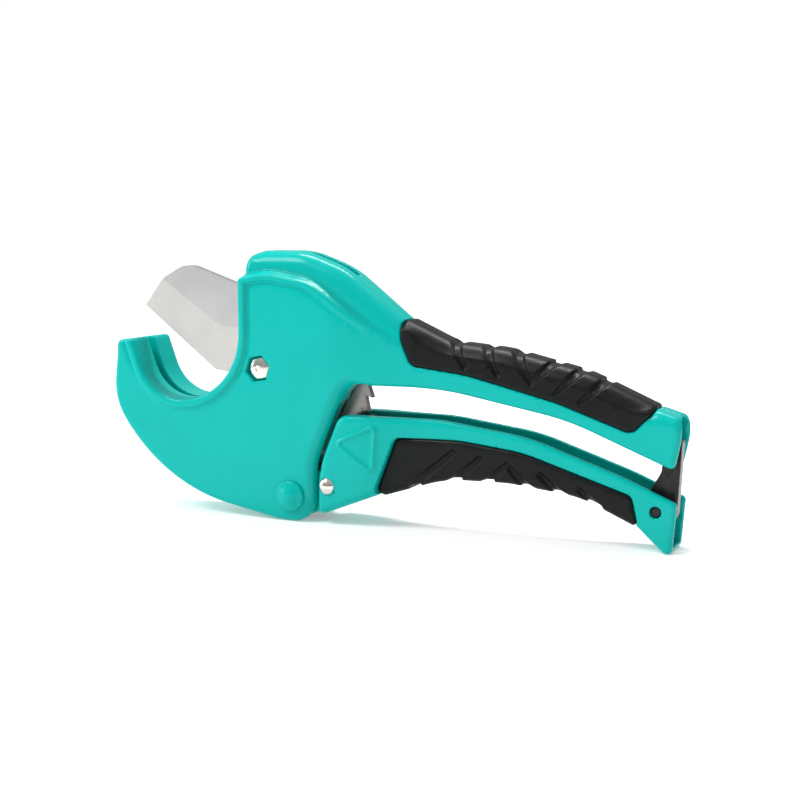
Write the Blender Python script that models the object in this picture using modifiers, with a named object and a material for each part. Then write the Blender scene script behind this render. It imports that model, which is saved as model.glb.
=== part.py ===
"""A ratcheting PVC pipe cutter: a die-cast head with a cradle jaw, a toothed steel blade, and two
channel-shaped handles with moulded grips.

The tool stands on edge, on its head and on the tail of its lower handle. +X runs from the jaw to the
tails and +Z up. Lengths below are in millimetres, and MM turns them into Blender's metres."""

from math import atan2, ceil, cos, degrees, pi, radians, sin, tan

import bmesh
import bpy
from mathutils import Matrix, Vector

MM = 0.001
GAP = 0.3  # between pieces that touch on the real tool

# Axes of the mechanism, as X and Z. All of them run along Y.
BLADE_AXIS = (-48.0, 58.5)
HANDLE_AXIS = (-34.0, 10.2)
PAWL_AXIS = (-18.5, 15.0)
HOLD_AXIS = (6.5, 58.6)
LATCH_AXIS = (106.6, 14.6)

# Half thicknesses, measured from the middle plane.
HEAD_HALF = 14.0
HOOD_HALF = 9.8
HANDLE_HALF = 8.6
LOWER_FRONT_HALF = 13.3
CORE_HALF = 7.4
CHANNEL_HALF = 5.8
GRIP_HALF = 9.3
SLOT_HALF = 2.0
BLADE_HALF = 1.5
CAVITY_HALF = 8.9
LUG_HALF = 8.5
LUG_INNER = 4.9
PAWL_HALF = 3.0
LATCH_HALF = 2.3

# The cradle takes a 42 mm pipe. The wall behind it is the throat.
CRADLE_RADIUS = 23.6
CRADLE_FLOOR = 45.0
THROAT = -56.2

# The ratchet sector on the blade's rear.
TOOTH_TIP = 44.5
TOOTH_ROOT = 41.3
TOOTH_PITCH = 7.2
FIRST_TOOTH = 29.8
TEETH = 12

BOLT_RADIUS = 3.0
HANDLE_PIN_RADIUS = 3.4
RIVET_RADIUS = 2.4
HOLD_PIN_RADIUS = 1.6
LATCH_PIN_RADIUS = 1.8
HEX_RECESS_FLATS = 9.4
HEX_HEAD_FLATS = 8.5

ARC_STEP = 14.0  # most degrees of a rounded corner to one straight side
ARC_SIDE = 5.0  # most length of that side

TEAL = (0.0, 0.56, 0.48, 1)
BLACK = (0.013, 0.014, 0.015, 1)
STEEL = (0.62, 0.60, 0.57, 1)
DARK_STEEL = (0.07, 0.07, 0.07, 1)
NICKEL = (0.72, 0.69, 0.64, 1)


# ---------------------------------------------------------------- scene and materials


def clear_scene():
    for obj in list(bpy.data.objects):
        bpy.data.objects.remove(obj, do_unlink=True)
    for collection in list(bpy.data.collections):
        bpy.data.collections.remove(collection)


def new_collection(name):
    collection = bpy.data.collections.new(name)
    bpy.context.scene.collection.children.link(collection)
    return collection


clear_scene()
PARTS = new_collection("pvc_pipe_cutter")
CUTTERS = new_collection("cutters")


def material(name, colour, roughness, metallic):
    mat = bpy.data.materials.new(name)
    mat.use_nodes = True
    shader = mat.node_tree.nodes["Principled BSDF"]
    shader.inputs["Base Color"].default_value = colour
    shader.inputs["Roughness"].default_value = roughness
    shader.inputs["Metallic"].default_value = metallic
    mat.diffuse_color = colour
    return mat


TEAL_PAINT = material("teal_paint", TEAL, 0.25, 0.0)
BLACK_GRIP = material("black_grip", BLACK, 0.5, 0.0)
BLADE_STEEL = material("blade_steel", STEEL, 0.3, 1.0)
BLACK_STEEL = material("black_steel", DARK_STEEL, 0.4, 0.8)
BRIGHT_NICKEL = material("bright_nickel", NICKEL, 0.2, 1.0)
SPRING_STEEL = material("spring_steel", STEEL, 0.35, 1.0)


# ---------------------------------------------------------------- outlines


def rounded(corners):
    """The points of a closed outline, from corners (x, z, radius) rounded by arcs."""
    points = []
    for i, (x, z, radius) in enumerate(corners):
        before, after = corners[i - 1], corners[(i + 1) % len(corners)]
        to_before = Vector((before[0] - x, before[1] - z))
        to_after = Vector((after[0] - x, after[1] - z))
        if radius == 0:
            points.append((x, z))
            continue
        opening = to_before.angle(to_after)
        reach = radius / tan(opening / 2)
        centre = Vector((x, z)) + (to_before.normalized() + to_after.normalized()).normalized() * (
            radius / sin(opening / 2)
        )
        start = Vector((x, z)) + to_before.normalized() * reach - centre
        end = Vector((x, z)) + to_after.normalized() * reach - centre
        turn = (atan2(end.y, end.x) - atan2(start.y, start.x) + pi) % (2 * pi) - pi
        steps = max(2, ceil(abs(degrees(turn)) / ARC_STEP), ceil(abs(turn) * radius / ARC_SIDE))
        for step in range(steps + 1):
            spoke = Matrix.Rotation(turn * step / steps, 2) @ start
            points.append(tuple(centre + spoke))
    return points


def polar(radius, angle, centre=BLADE_AXIS):
    """The point at this radius and angle, in degrees from +X towards +Z."""
    return (
        centre[0] + radius * cos(radians(angle)),
        centre[1] + radius * sin(radians(angle)),
    )


def arc(radius, first, last, centre=BLADE_AXIS, step=ARC_STEP):
    steps = max(1, ceil(abs(last - first) / step))
    return [polar(radius, first + (last - first) * i / steps, centre) for i in range(steps + 1)]


def sharp(points):
    """These points as corners that rounded() leaves sharp."""
    return [(x, z, 0) for x, z in points]


# ---------------------------------------------------------------- solids


def finish_object(name, mesh, world, pivot, helper, mat):
    """A new object with this mesh, placed by world, with its origin on the axis at pivot."""
    mesh.transform(Matrix.Translation(Vector((-pivot[0], 0, -pivot[1])) * MM) @ world)
    obj = bpy.data.objects.new(name, mesh)
    obj.location = Vector((pivot[0], 0, pivot[1])) * MM
    (CUTTERS if helper else PARTS).objects.link(obj)
    if helper:
        obj.hide_render = True
        obj.display_type = "WIRE"
    if mat:
        mesh.materials.clear()
        mesh.materials.append(mat)
    return obj


def mesh_of_curve(curve_object):
    """The curve's evaluated mesh with its loose caps welded on and flat faces joined up."""
    bpy.context.scene.collection.objects.link(curve_object)
    bpy.context.view_layer.update()
    graph = bpy.context.evaluated_depsgraph_get()
    mesh = bpy.data.meshes.new_from_object(curve_object.evaluated_get(graph))
    curve = curve_object.data
    bpy.data.objects.remove(curve_object)
    bpy.data.curves.remove(curve)
    solid = bmesh.new()
    solid.from_mesh(mesh)
    bmesh.ops.remove_doubles(solid, verts=solid.verts, dist=1e-6)
    bmesh.ops.dissolve_limit(
        solid, angle_limit=radians(0.4), verts=solid.verts, edges=solid.edges
    )
    bmesh.ops.recalc_face_normals(solid, faces=solid.faces)
    solid.to_mesh(mesh)
    solid.free()
    return mesh


def plate(name, outline, low, high, pivot=(0, 0), edge=0.0, grow=0.0, helper=False, mat=None):
    """A flat plate of this outline between the Y planes low and high, with edges rounded by edge."""
    curve = bpy.data.curves.new(name, "CURVE")
    curve.dimensions = "2D"
    curve.fill_mode = "BOTH"
    curve.extrude = ((high - low) / 2 - edge) * MM
    curve.bevel_depth = edge * MM
    curve.bevel_resolution = 2
    curve.offset = (grow - edge) * MM
    spline = curve.splines.new("POLY")
    spline.points.add(len(outline) - 1)
    for point, (x, z) in zip(spline.points, outline):
        point.co = (x * MM, z * MM, 0, 1)
    spline.use_cyclic_u = True
    mesh = mesh_of_curve(bpy.data.objects.new(name, curve))
    world = Matrix.Translation((0, (low + high) / 2 * MM, 0)) @ Matrix.Rotation(pi / 2, 4, "X")
    return finish_object(name, mesh, world, pivot, helper, mat)


def taper(obj, stations, nominal):
    """Scales a plate's thickness along X: stations give X and the half thickness there."""
    solid = bmesh.new()
    solid.from_mesh(obj.data)
    for x, _ in stations:
        bmesh.ops.bisect_plane(
            solid,
            geom=solid.verts[:] + solid.edges[:] + solid.faces[:],
            plane_co=Vector((x * MM, 0, 0)) - obj.location,
            plane_no=(1, 0, 0),
            dist=1e-7,
        )
    for vertex in solid.verts:
        x = (vertex.co.x + obj.location.x) / MM
        vertex.co.y *= between(stations, x) / nominal
    solid.to_mesh(obj.data)
    solid.free()
    return obj


def between(stations, x):
    """The value at x on the straight lines through stations, held level past both ends."""
    if x <= stations[0][0]:
        return stations[0][1]
    for (x0, v0), (x1, v1) in zip(stations, stations[1:]):
        if x <= x1:
            return v0 + (v1 - v0) * (x - x0) / (x1 - x0)
    return stations[-1][1]


def cylinder(name, axis, radius, low, high, sides=32, turn=0.0, pivot=None, helper=False, mat=None):
    """A cylinder or prism along Y between low and high."""
    solid = bmesh.new()
    bmesh.ops.create_cone(
        solid,
        cap_ends=True,
        segments=sides,
        radius1=radius * MM,
        radius2=radius * MM,
        depth=(high - low) * MM,
    )
    mesh = bpy.data.meshes.new(name)
    solid.to_mesh(mesh)
    solid.free()
    world = (
        Matrix.Translation(Vector((axis[0], (low + high) / 2, axis[1])) * MM)
        @ Matrix.Rotation(pi / 2, 4, "X")
        @ Matrix.Rotation(radians(turn), 4, "Z")
    )
    return finish_object(name, mesh, world, pivot or axis, helper, mat)


def turned(name, axis, profile, mat, sides=32):
    """A turned pin: profile lists (radius, y) from its near end to its far end, both on the axis."""
    mesh = bpy.data.meshes.new(name)
    points = [(radius * MM, y * MM, 0) for radius, y in reversed(profile)]
    mesh.from_pydata(points, [(i, i + 1) for i in range(len(points) - 1)], [])
    obj = bpy.data.objects.new(name, mesh)
    obj.location = Vector((axis[0], 0, axis[1])) * MM
    PARTS.objects.link(obj)
    mesh.materials.append(mat)
    screw = obj.modifiers.new("turn", "SCREW")
    screw.axis = "Y"
    screw.steps = sides
    screw.render_steps = sides
    screw.use_merge_vertices = True
    screw.merge_threshold = 0.00001
    screw.use_smooth_shade = True
    return obj


def coil(name, axis, radius, wire, low, high, turns, first, legs, mat):
    """A torsion spring along Y. first is the angle of its start; legs are two (length, angle) pairs."""
    per_turn = 14
    count = round(turns * per_turn)
    points = []
    for i in range(count + 1):
        angle = radians(first) + 2 * pi * i / per_turn
        y = low + (high - low) * i / count
        points.append((radius * cos(angle), y, radius * sin(angle)))
    ends = []
    for (x, y, z), (length, angle) in zip((points[0], points[-1]), legs):
        ends.append((x + length * cos(radians(angle)), y, z + length * sin(radians(angle))))
    path = [ends[0]] + points + [ends[1]]
    curve = bpy.data.curves.new(name, "CURVE")
    curve.dimensions = "3D"
    curve.bevel_depth = wire * MM
    curve.bevel_resolution = 1
    curve.use_fill_caps = True
    spline = curve.splines.new("POLY")
    spline.points.add(len(path) - 1)
    for point, place in zip(spline.points, path):
        point.co = (*(Vector(place) * MM), 1)
    mesh = mesh_of_curve(bpy.data.objects.new(name, curve))
    world = Matrix.Translation(Vector((axis[0], 0, axis[1])) * MM)
    return finish_object(name, mesh, world, axis, False, mat)


def combine(obj, operation, *others):
    for other in others:
        modifier = obj.modifiers.new(other.name, "BOOLEAN")
        modifier.operation = operation
        modifier.solver = "EXACT"
        modifier.object = other
    return obj


# ---------------------------------------------------------------- head and upper handle

SIDE_WALLS = rounded(
    [
        (-105.0, 68.4, 1.8),
        (-112.6, 67.4, 2.2),
        (-115.3, 43.4, 24.5),
        (-92.8, 10.3, 74),
        (-38.8, 0.0, 30),
        (-23.8, 0.0, 10.2),
        (-23.8, 24.0, 26),
        (-11.2, 54.2, 8),
        (14.0, 54.4, 30),
        (30.0, 58.0, 2.5),
        (30.0, 64.0, 2.5),
        (10.0, 70.5, 40),
        (-10.0, 82.5, 60),
        (-25.5, 93.2, 24),
        (-44.0, 96.2, 24),
        (THROAT, 93.8, 2.2),
        (THROAT, CRADLE_FLOOR, CRADLE_RADIUS),
        (-96.3, CRADLE_FLOOR, CRADLE_RADIUS),
    ]
)

TAIL_END = [(112.6, 29.4, 2.0), (114.8, 40.0, 20), (114.8, 47.8, 3.0), (106.0, 50.6, 4)]
HANDLE_UNDERSIDE = [(-2.0, 53.8, 0), (26.0, 53.6, 120), (74.0, 44.8, 100)]
HANDLE_TOP = [(80.0, 62.3, 60), (50.0, 69.6, 60), (29.0, 71.8, 20), (13.0, 78.2, 20)]
HOOD_TOP = [(-14.0, 97.4, 40), (-31.0, 103.5, 30), (-55.5, 103.5, 8), (-55.5, 80.0, 0)]

SPINE = rounded(HANDLE_UNDERSIDE + TAIL_END + HANDLE_TOP + HOOD_TOP)

BLADE_SLOT = rounded(
    [
        (-110.6, 80.0, 0),
        (-111.2, 40.6, 13),
        (-84.0, 15.0, 34),
        (-58.0, 11.4, 8),
        (-26.0, 11.4, 0),
        (-1.6, 44.0, 0),
        (-1.6, 67.0, 6),
        (-11.0, 86.5, 0),
        (-11.0, 112.0, 0),
        (-64.0, 112.0, 0),
        (-64.0, 80.0, 0),
    ]
)

LUG_CAVITY = rounded(
    [
        (-44.8, -3.0, 0),
        (-44.8, 20.8, 9),
        (-26.5, 20.8, 6),
        (-15.0, 48.0, 5),
        (-2.0, 48.0, 0),
        (-2.0, -3.0, 0),
    ]
)

UPPER_CHANNEL = rounded(
    [
        (-8.0, 40.0, 0),
        (-8.0, 60.0, 4),
        (0.5, 72.0, 3),
        (12.0, 71.0, 8),
        (28.0, 65.6, 30),
        (50.0, 63.4, 60),
        (80.0, 56.4, 60),
        (100.5, 47.4, 3),
        (118.0, 47.0, 0),
        (118.0, 20.0, 0),
        (74.0, 34.0, 0),
    ]
)

UPPER_GRIP = rounded(
    [
        (16.8, 60.6, 4),
        (36.0, 59.4, 60),
        (70.0, 51.2, 60),
        (97.6, 41.6, 4),
        (107.4, 50.6, 1.5),
        (80.0, 63.3, 60),
        (50.0, 70.6, 60),
        (29.0, 72.8, 20),
        (14.4, 79.2, 3),
        (11.6, 70.0, 6),
    ]
)

UPPER_CORE = rounded(
    [
        (0.0, 40.0, 0),
        (120.0, 20.0, 0),
        (109.0, 46.0, 0),
        (80.0, 60.3, 60),
        (50.0, 67.6, 60),
        (29.0, 69.8, 20),
        (0.0, 82.0, 0),
    ]
)


def hex_recess(name, low, high):
    radius = HEX_RECESS_FLATS / 2 / cos(pi / 6)
    return cylinder(name, BLADE_AXIS, radius, low, high, sides=6, turn=20, helper=True)


def body_casting():
    body = plate(
        "body_casting", SIDE_WALLS, -HEAD_HALF, HEAD_HALF, edge=1.7, mat=TEAL_PAINT
    )
    taper(body, [(-16, HEAD_HALF), (0, 11.2), (14, 9.2), (30, 8.2)], HEAD_HALF)
    spine = plate("spine", SPINE, -HOOD_HALF, HOOD_HALF, edge=1.7, helper=True)
    taper(spine, [(-8, HOOD_HALF), (16, 8.8), (40, HANDLE_HALF)], HOOD_HALF)
    combine(body, "UNION", spine)
    cuts = [
        plate("blade_slot", BLADE_SLOT, -SLOT_HALF, SLOT_HALF, helper=True),
        plate("lug_cavity", LUG_CAVITY, -CAVITY_HALF, CAVITY_HALF, helper=True),
        plate("upper_channel", UPPER_CHANNEL, -CHANNEL_HALF, CHANNEL_HALF, helper=True),
        upper_grip_recess(),
        hex_recess("bolt_head_recess", -20, 3.5 - HEAD_HALF),
        hex_recess("nut_recess", HEAD_HALF - 4.5, 20),
        cylinder("bolt_hole", BLADE_AXIS, BOLT_RADIUS + GAP, -13, 13, helper=True),
        cylinder("washer_pocket", BLADE_AXIS, 7.0, -2.6, 0, helper=True),
        cylinder("spring_pocket", BLADE_AXIS, 7.6, 0, 8.2, helper=True),
        cylinder("handle_pin_hole", HANDLE_AXIS, HANDLE_PIN_RADIUS + GAP, -20, 20, helper=True),
        cylinder("hold_pin_hole", HOLD_AXIS, HOLD_PIN_RADIUS + GAP, -8.4, 20, helper=True),
    ]
    combine(body, "DIFFERENCE", *cuts)
    rib = plate(
        "catch_rib",
        rounded([(98.6, 36.6, 1.2), (101.8, 36.6, 1.2), (101.8, 39.6, 1.2), (98.6, 39.6, 1.2)]),
        -CORE_HALF + 0.4,
        CORE_HALF - 0.4,
        helper=True,
    )
    return combine(body, "UNION", rib)


def upper_grip_recess():
    recess = plate("upper_grip_recess", UPPER_GRIP, -20, 20, grow=GAP, helper=True)
    core = plate("upper_core", UPPER_CORE, -CORE_HALF, CORE_HALF, helper=True)
    return combine(recess, "DIFFERENCE", core)


def upper_grip():
    grip = plate("upper_grip", UPPER_GRIP, -GRIP_HALF, GRIP_HALF, edge=1.6, mat=BLACK_GRIP)
    inner = plate(
        "upper_grip_inner", UPPER_CORE, -CORE_HALF - GAP, CORE_HALF + GAP, grow=GAP, helper=True
    )
    return combine(grip, "DIFFERENCE", inner)


# ---------------------------------------------------------------- lower handle

LOWER_TOP = [(-13.6, 42.3, 5), (26.0, 42.3, 80), (60.0, 37.8, 80), (95.0, 25.9, 100)]
LOWER_TAIL = [(113.9, 18.0, 1.8), (112.4, 0.0, 1.8), (109.6, 0.0, 2), (98.5, 9.4, 6)]
LOWER_BOTTOM = [(78.0, 17.6, 40), (52.0, 20.8, 50), (28.0, 20.4, 50), (4.0, 13.2, 30)]
LOWER_FRONT = [(-22.4, 3.2, 2), (-22.6, 16.0, 30), (-20.8, 25.0, 30)]

LOWER_HANDLE = rounded(LOWER_TOP + LOWER_TAIL + LOWER_BOTTOM + LOWER_FRONT)

LUGS = rounded(
    sharp(arc(9.4, 75, 285, HANDLE_AXIS))
    + [(-20.0, 5.6, 1), (-12.0, 12.0, 0), (-12.0, 21.0, 0)]
)

LOWER_CHANNEL = rounded(
    [
        (-14.0, 60.0, 0),
        (-14.0, 22.0, 0),
        (0.0, 19.0, 10),
        (20.0, 23.6, 60),
        (50.0, 25.6, 60),
        (78.0, 22.4, 60),
        (96.6, 13.4, 10),
        (109.6, 2.2, 3),
        (120.0, 2.2, 0),
        (120.0, 60.0, 0),
    ]
)

PAWL_CHANNEL = rounded(
    [
        (-60.0, -10.0, 0),
        (-26.5, -10.0, 0),
        (-22.5, 9.8, 3),
        (-13.0, 9.8, 4),
        (8.0, 24.0, 4),
        (8.0, 60.0, 0),
        (-60.0, 60.0, 0),
    ]
)

LOWER_GRIP = rounded(
    [
        (8.6, 34.8, 3),
        (34.0, 35.0, 60),
        (58.0, 32.2, 60),
        (98.0, 19.6, 3),
        (100.6, 7.4, 1.5),
        (78.0, 16.6, 40),
        (52.0, 19.8, 50),
        (28.0, 19.4, 50),
        (2.0, 11.6, 2),
        (1.0, 15.0, 3),
    ]
)

LOWER_CORE = rounded(
    [
        (-20.0, 60.0, 0),
        (120.0, 60.0, 0),
        (120.0, 6.0, 0),
        (98.5, 12.0, 0),
        (78.0, 19.6, 40),
        (52.0, 22.8, 50),
        (28.0, 22.4, 50),
        (-4.0, 13.6, 0),
    ]
)


def lower_handle_casting():
    handle = plate(
        "lower_handle_casting",
        LOWER_HANDLE,
        -LOWER_FRONT_HALF,
        LOWER_FRONT_HALF,
        pivot=HANDLE_AXIS,
        edge=1.6,
        mat=TEAL_PAINT,
    )
    taper(
        handle,
        [(-6, LOWER_FRONT_HALF), (4, 11.6), (14, 9.6), (24, HANDLE_HALF)],
        LOWER_FRONT_HALF,
    )
    lugs = plate("lugs", LUGS, -LUG_HALF, LUG_HALF, edge=0.0, helper=True)
    combine(handle, "UNION", lugs)
    cuts = [
        plate("lower_channel", LOWER_CHANNEL, -CHANNEL_HALF, CHANNEL_HALF, helper=True),
        plate("pawl_channel", PAWL_CHANNEL, -LUG_INNER, LUG_INNER, helper=True),
        lower_grip_recess(),
        cylinder("lug_hole", HANDLE_AXIS, HANDLE_PIN_RADIUS + GAP, -20, 20, helper=True),
        cylinder("rivet_hole", PAWL_AXIS, RIVET_RADIUS + GAP, -20, 20, helper=True),
        cylinder("latch_pin_hole", LATCH_AXIS, LATCH_PIN_RADIUS + GAP, -20, 20, helper=True),
    ]
    return combine(handle, "DIFFERENCE", *cuts)


def lower_grip_recess():
    recess = plate("lower_grip_recess", LOWER_GRIP, -20, 20, grow=GAP, helper=True)
    core = plate("lower_core", LOWER_CORE, -CORE_HALF, CORE_HALF, helper=True)
    return combine(recess, "DIFFERENCE", core)


def lower_grip():
    grip = plate(
        "lower_grip",
        LOWER_GRIP,
        -GRIP_HALF,
        GRIP_HALF,
        pivot=HANDLE_AXIS,
        edge=1.6,
        mat=BLACK_GRIP,
    )
    inner = plate(
        "lower_grip_inner", LOWER_CORE, -CORE_HALF - GAP, CORE_HALF + GAP, grow=GAP, helper=True
    )
    return combine(grip, "DIFFERENCE", inner)


# ---------------------------------------------------------------- blade and pawls


def sector_teeth():
    """Saw teeth down the sector: each slopes out to its tip, and its steep face looks down."""
    points = [polar(TOOTH_ROOT, FIRST_TOOTH + TOOTH_PITCH)]
    for i in range(TEETH):
        angle = FIRST_TOOTH - i * TOOTH_PITCH
        points += [polar(TOOTH_TIP, angle), polar(TOOTH_ROOT, angle + 0.5)]
    return points


def blade():
    lower_end = [polar(TOOTH_ROOT - 1, -55), polar(TOOTH_ROOT - 4, -57)]
    cutting_part = [
        (-50.0, 43.0, 8),
        (-60.0, 51.0, 6),
        (-73.0, 55.6, 4),
        (-80.6, 59.6, 30),
        (-106.6, 81.0, 0),
        (-97.5, 92.0, 9),
        (-86.0, 98.2, 11),
        (-62.0, 90.0, 60),
        (-34.0, 81.0, 16),
    ]
    outline = rounded(sharp(sector_teeth() + lower_end) + cutting_part)
    steel = plate(
        "blade", outline, -BLADE_HALF, BLADE_HALF, pivot=BLADE_AXIS, mat=BLADE_STEEL
    )
    hole = cylinder("blade_hole", BLADE_AXIS, BOLT_RADIUS + GAP, -5, 5, helper=True)
    return combine(steel, "DIFFERENCE", hole)


def drive_pawl():
    """A curved strut that runs outside the sector, from its rivet up to its nose."""
    outline = (
        arc(4.4, 150, 330, PAWL_AXIS, 20)
        + arc(51.0, -48, -26, step=6)
        + [polar(48.6, -22.6), polar(45.0, -22.0)]
        + arc(45.4, -24, -50, step=6)
    )
    pawl = plate(
        "drive_pawl", outline, -PAWL_HALF, PAWL_HALF, pivot=PAWL_AXIS, mat=BLACK_STEEL
    )
    hole = cylinder("drive_pawl_hole", PAWL_AXIS, RIVET_RADIUS + GAP, -6, 6, helper=True)
    return combine(pawl, "DIFFERENCE", hole)


def holding_pawl():
    outline = (
        arc(3.2, -140, 80, HOLD_AXIS, 20)
        + [polar(47.4, 8.0), polar(45.0, 6.6), polar(45.4, 3.4)]
    )
    pawl = plate(
        "holding_pawl", outline, -BLADE_HALF, BLADE_HALF, pivot=HOLD_AXIS, mat=BLACK_STEEL
    )
    hole = cylinder("holding_pawl_hole", HOLD_AXIS, HOLD_PIN_RADIUS + GAP, -5, 5, helper=True)
    return combine(pawl, "DIFFERENCE", hole)


# ---------------------------------------------------------------- latch


def latch():
    """A plate that stands on its pin and hooks forward, just past the catch rib."""
    outline = rounded(
        sharp(arc(6.3, 160, 360, LATCH_AXIS))
        + [
            (114.2, 39.6, 2),
            (107.0, 42.4, 3),
            (102.2, 41.2, 0.8),
            (102.2, 39.0, 0.8),
            (107.4, 37.0, 1.5),
            (107.0, 28.0, 6),
            (102.4, 20.0, 6),
        ]
    )
    plate_latch = plate(
        "latch", outline, -LATCH_HALF, LATCH_HALF, pivot=LATCH_AXIS, mat=BLACK_STEEL
    )
    hole = cylinder("latch_hole", LATCH_AXIS, LATCH_PIN_RADIUS + GAP, -5, 5, helper=True)
    return combine(plate_latch, "DIFFERENCE", hole)


# ---------------------------------------------------------------- pins, bolt and springs


def blade_bolt():
    head = cylinder(
        "blade_bolt",
        BLADE_AXIS,
        HEX_HEAD_FLATS / 2 / cos(pi / 6),
        -HEAD_HALF,
        3.2 - HEAD_HALF,
        sides=6,
        turn=20,
        mat=BRIGHT_NICKEL,
    )
    shank = cylinder("bolt_shank", BLADE_AXIS, BOLT_RADIUS, -12, 12.6, helper=True)
    return combine(head, "UNION", shank)


def blade_nut():
    nut = cylinder(
        "blade_nut",
        BLADE_AXIS,
        HEX_HEAD_FLATS / 2 / cos(pi / 6),
        HEAD_HALF - 4.2,
        HEAD_HALF - 0.4,
        sides=6,
        turn=20,
        mat=BRIGHT_NICKEL,
    )
    hole = cylinder("nut_hole", BLADE_AXIS, BOLT_RADIUS + GAP, 0, 20, helper=True)
    return combine(nut, "DIFFERENCE", hole)


def blade_washer(name, low, high):
    washer = cylinder(name, BLADE_AXIS, 6.6, low, high, mat=SPRING_STEEL)
    hole = cylinder(name + "_hole", BLADE_AXIS, BOLT_RADIUS + GAP, -5, 5, helper=True)
    return combine(washer, "DIFFERENCE", hole)


def domed_pin(name, axis, shank, head, face, rise, near, far, mat):
    """A pin with a low domed head standing on each side face."""
    turned(
        name,
        axis,
        [
            (0, -near - rise),
            (face * 0.6, -near - rise * 0.94),
            (face, -near - rise * 0.72),
            (head, -near - GAP),
            (shank, -near - GAP),
            (shank, far + GAP),
            (head, far + GAP),
            (face, far + rise * 0.72),
            (face * 0.6, far + rise * 0.94),
            (0, far + rise),
        ],
        mat,
    )


def straight_pin(name, axis, radius, near, far, mat):
    chamfer = 0.3
    profile = [(0, -near), (radius - chamfer, -near), (radius, chamfer - near)]
    profile += [(radius, far - chamfer), (radius - chamfer, far), (0, far)]
    turned(name, axis, profile, mat, sides=24)


def pins():
    domed_pin(
        "handle_pivot_pin", HANDLE_AXIS, HANDLE_PIN_RADIUS, 5.8, 4.4, 1.9, HEAD_HALF, HEAD_HALF,
        TEAL_PAINT,
    )
    domed_pin(
        "drive_pawl_rivet", PAWL_AXIS, RIVET_RADIUS, 3.2, 2.2, 1.7, LOWER_FRONT_HALF,
        LOWER_FRONT_HALF, BRIGHT_NICKEL,
    )
    straight_pin("holding_pawl_pin", HOLD_AXIS, HOLD_PIN_RADIUS, 8.1, 9.4, BRIGHT_NICKEL)
    straight_pin("latch_pin", LATCH_AXIS, LATCH_PIN_RADIUS, 7.6, 7.6, BRIGHT_NICKEL)


def springs():
    coil(
        "blade_return_spring", BLADE_AXIS, 5.2, 0.6, 3.6, 7.2, 2.5, 0, ((0.5, 90), (0.5, 90)),
        SPRING_STEEL,
    )
    coil(
        "handle_spring", HANDLE_AXIS, 4.35, 0.5, -3.6, 3.6, 4.5, 180, ((5.0, 250), (7.0, -60)),
        SPRING_STEEL,
    )
    coil(
        "drive_pawl_spring", PAWL_AXIS, 3.1, 0.25, 3.6, 4.3, 1.25, 0, ((1.0, 90), (3.0, 20)),
        SPRING_STEEL,
    )
    coil(
        "holding_pawl_spring", HOLD_AXIS, 2.6, 0.35, 2.3, 4.6, 2.5, 0, ((4.0, 60), (3.0, -60)),
        SPRING_STEEL,
    )


# ---------------------------------------------------------------- the whole tool

body_casting()
upper_grip()
lower_handle_casting()
lower_grip()
blade()
drive_pawl()
holding_pawl()
latch()
blade_bolt()
blade_nut()
blade_washer("blade_washer_near", -2.3, -1.8)
blade_washer("blade_washer_far", 1.8, 2.3)
pins()
springs()
for part in PARTS.objects:
    part.data.shade_smooth()
    part.data.set_sharp_from_angle(angle=radians(30))
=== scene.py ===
"""The finished look of a ratcheting PVC pipe cutter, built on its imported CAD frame.

Each cast, moulded or ground piece is a field of signed distances in millimetres: flat outlines in the
XZ plane are thickened along Y, rounded, joined and cut, and the field's zero level becomes the mesh.
X runs from the jaw to the tails and Z up. Y = 0 is the tool's middle plane, and its near side is at -Y.
Only the bolt and nut, the holding pawl's pin, and the pockets and springs inside differ side to side."""

from math import atan2, ceil, cos, degrees, pi, radians, sin, tan

import bmesh
import bpy
import numpy as np
import openvdb
from mathutils import Matrix, Vector


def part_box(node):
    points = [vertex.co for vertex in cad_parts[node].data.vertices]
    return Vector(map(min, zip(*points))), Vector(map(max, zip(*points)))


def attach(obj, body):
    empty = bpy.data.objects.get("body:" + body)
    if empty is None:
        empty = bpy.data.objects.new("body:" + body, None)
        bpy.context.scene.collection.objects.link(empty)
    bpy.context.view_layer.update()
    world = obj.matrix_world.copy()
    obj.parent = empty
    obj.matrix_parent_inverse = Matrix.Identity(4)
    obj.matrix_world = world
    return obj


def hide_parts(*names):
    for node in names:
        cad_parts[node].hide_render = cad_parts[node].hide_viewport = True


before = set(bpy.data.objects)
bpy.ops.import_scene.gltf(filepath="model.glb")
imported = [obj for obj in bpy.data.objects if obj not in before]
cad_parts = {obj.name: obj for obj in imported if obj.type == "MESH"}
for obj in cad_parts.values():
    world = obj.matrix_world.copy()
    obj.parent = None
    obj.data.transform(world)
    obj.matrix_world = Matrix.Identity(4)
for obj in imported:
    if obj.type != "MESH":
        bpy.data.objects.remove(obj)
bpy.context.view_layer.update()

MM = 0.001
CAST_STEP = 0.42  # sample spacing of the castings
GRIP_STEP = 0.5
LEVER_STEP = 0.25
BOSS_STEP = 0.21
RIVET_STEP = 0.18
PIN_STEP = 0.14  # of bolt, nut and pins
ARC_STEP = 1.5  # degrees between the points of an arc
SEAM = 0.15  # from a grip's edge to the casting round it
GAP = 0.3  # from a pin to its hole

# Axes of the mechanism, as X and Z. All of them run along Y.
BLADE_AXIS = (-48.0, 58.5)
HANDLE_AXIS = (-34.0, 10.2)
PAWL_AXIS = (-18.5, 15.0)
HOLD_AXIS = (6.5, 58.6)
LATCH_AXIS = (106.6, 14.6)

BOLT_RADIUS = 3.0
HANDLE_PIN_RADIUS = 3.4
RIVET_RADIUS = 2.4
HOLD_PIN_RADIUS = 1.6
LATCH_PIN_RADIUS = 1.8
HEX_RECESS_FLATS = 9.4
HEX_HEAD_FLATS = 8.5
HEX_TURN = 12.0
DIMPLE_RADIUS = 0.9

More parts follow.
